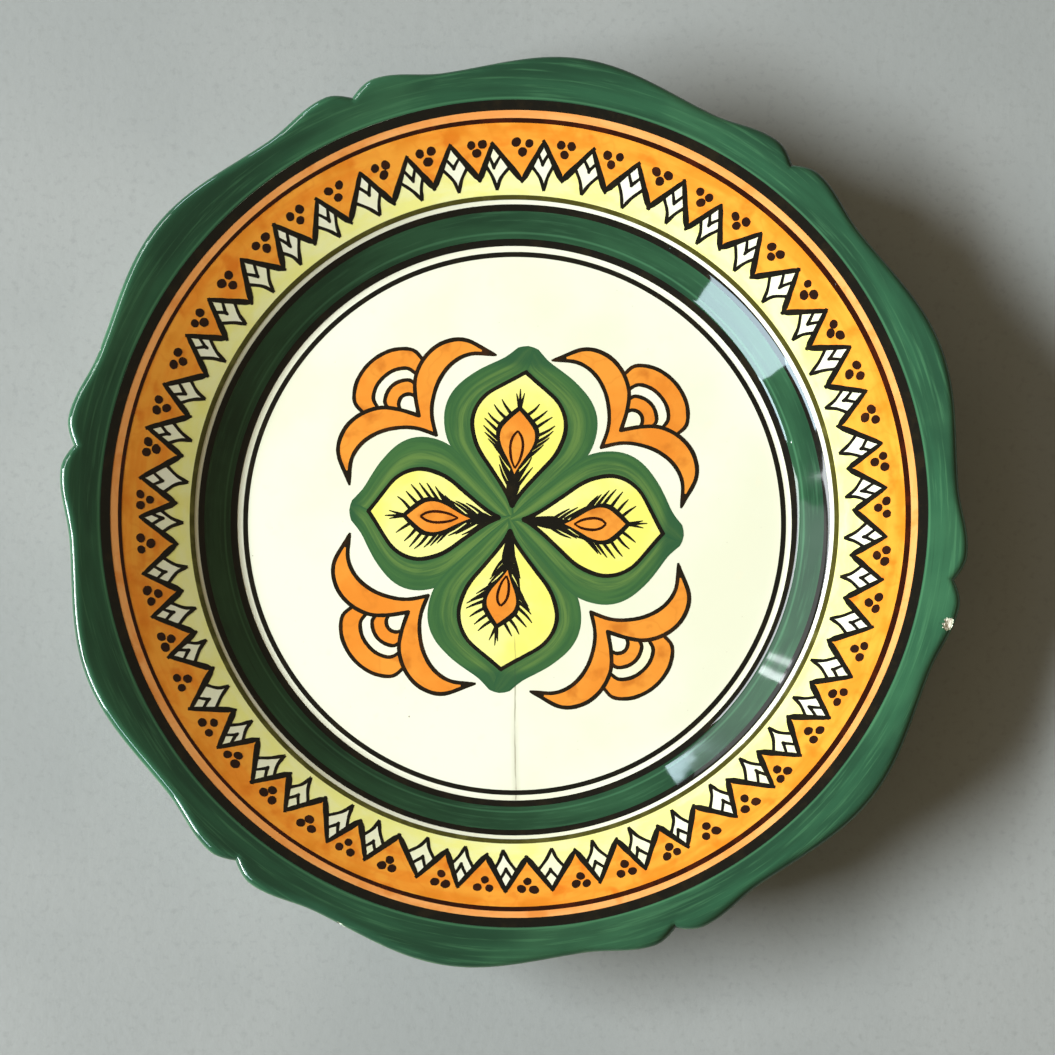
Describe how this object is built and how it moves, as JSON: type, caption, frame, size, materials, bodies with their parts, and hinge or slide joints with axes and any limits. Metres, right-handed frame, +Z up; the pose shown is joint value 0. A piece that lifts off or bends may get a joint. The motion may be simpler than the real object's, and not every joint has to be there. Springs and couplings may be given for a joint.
{
  "type": "painted dinner plate",
  "caption": "Round glazed earthenware plate with a scalloped, gently rising rim, a flat well and a foot ring, hand painted with borders and a four-petalled flower.",
  "frame": {"origin": "centre of the plane that the foot ring rests on", "axes": "+Z up out of the food surface, +X towards the right and +Y towards the top of the painted flower as it is seen from above"},
  "size_m": [0.2478, 0.2482, 0.0262],
  "materials": {
    "bare_clay": "matt, slightly gritty fired earthenware, seen on the foot ring and in a chip at the lip",
    "cream_glaze": "glossy warm cream glaze with a few fine specks",
    "underside_glaze": "glossy cream glaze, a little thinner and duller than on the face",
    "paint_green": "deep brush-streaked green under clear gloss: rim, wall band and petals",
    "paint_orange": "mottled orange under clear gloss: border band, crescents and leaf hearts",
    "paint_yellow": "pale yellow wash under clear gloss: border band and leaves",
    "paint_black": "brown-black line paint under clear gloss: rings, zigzag and outlines",
    "paint_white": "reserved cream white under clear gloss: lances of the zigzag and arcs of the corner ornaments",
    "paint_brown": "thin red-brown line paint under clear gloss: dots and line of the orange band, inner line of the leaf hearts"
  },
  "bodies": {
    "root": {"clay_body": "bare_clay", "outer_glaze": "cream_glaze", "base_glaze": "underside_glaze"}
  },
  "joints": []
}
